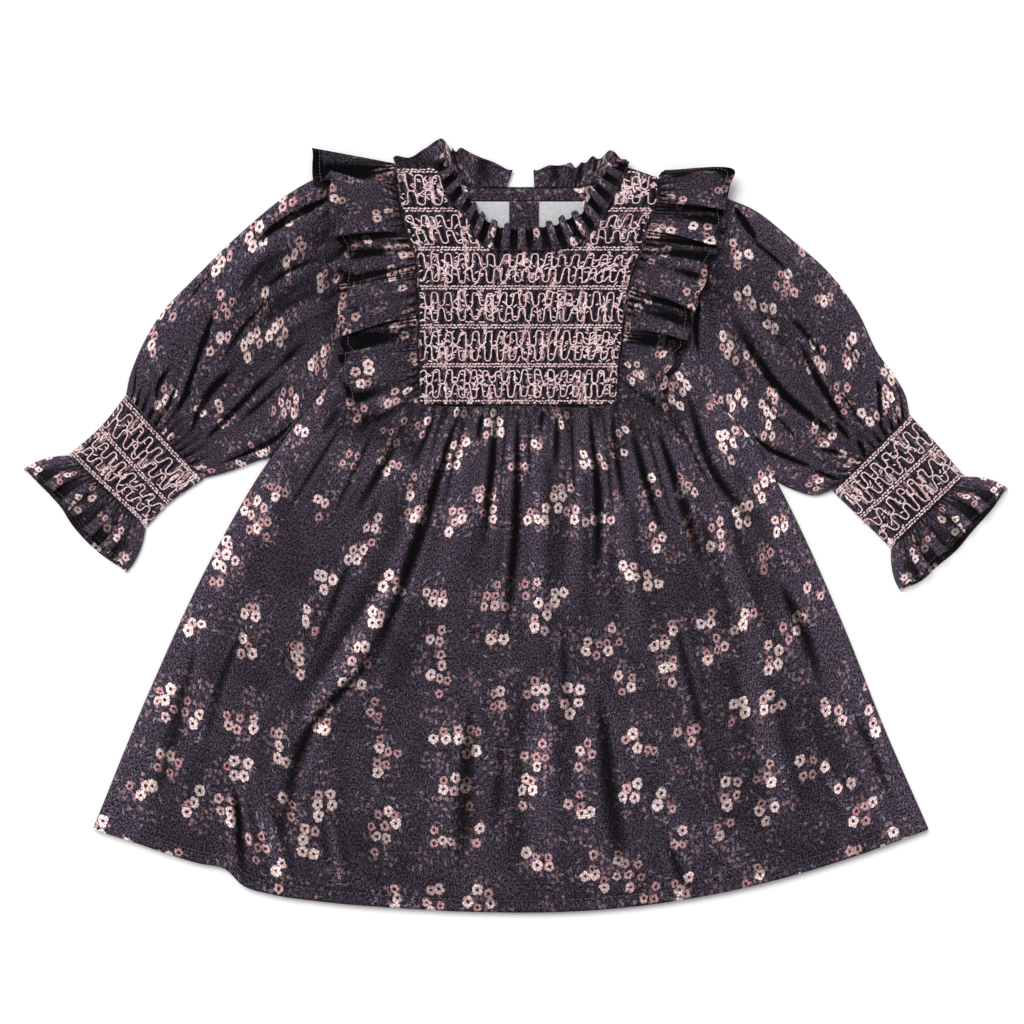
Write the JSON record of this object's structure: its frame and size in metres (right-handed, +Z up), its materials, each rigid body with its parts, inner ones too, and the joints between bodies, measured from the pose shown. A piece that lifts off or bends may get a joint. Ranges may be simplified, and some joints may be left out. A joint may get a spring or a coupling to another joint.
{
  "type": "smocked dress",
  "caption": "Child's long-sleeved dress laid flat, with a smocked chest and cuffs, frills at the neck, shoulders and wrists, and a gathered skirt.",
  "frame": {"origin": "centre of the dress's outline on the surface it lies on", "axes": "+X to the viewer's right across the sleeves, +Y from hem to neck, +Z up from the surface"},
  "size_m": [0.6489, 0.5105, 0.0151],
  "materials": {
    "printed_cloth": "brushed woven cotton in charcoal plum with a small pale flower print",
    "smocked_cloth": "the same cloth pleated and stitched over with pink embroidery thread",
    "lining": "pale grey matt lining"
  },
  "bodies": {
    "root": {"skirt_front": "printed_cloth", "skirt_back": "printed_cloth", "bodice_front_smocked": "smocked_cloth", "side_front_left": "printed_cloth", "side_front_right": "printed_cloth", "bodice_back": "printed_cloth", "lining_left": "lining", "lining_right": "lining", "neckband_left": "printed_cloth", "neckband_right": "printed_cloth", "placket_left": "printed_cloth", "placket_right": "printed_cloth", "neck_frill_front": "printed_cloth", "neck_frill_back_left": "printed_cloth", "neck_frill_back_right": "printed_cloth", "shoulder_frill_left": "printed_cloth", "shoulder_frill_right": "printed_cloth", "sleeve_left": "printed_cloth", "sleeve_right": "printed_cloth", "cuff_left": "smocked_cloth", "cuff_right": "smocked_cloth", "cuff_frill_left": "printed_cloth", "cuff_frill_right": "printed_cloth"}
  },
  "joints": []
}
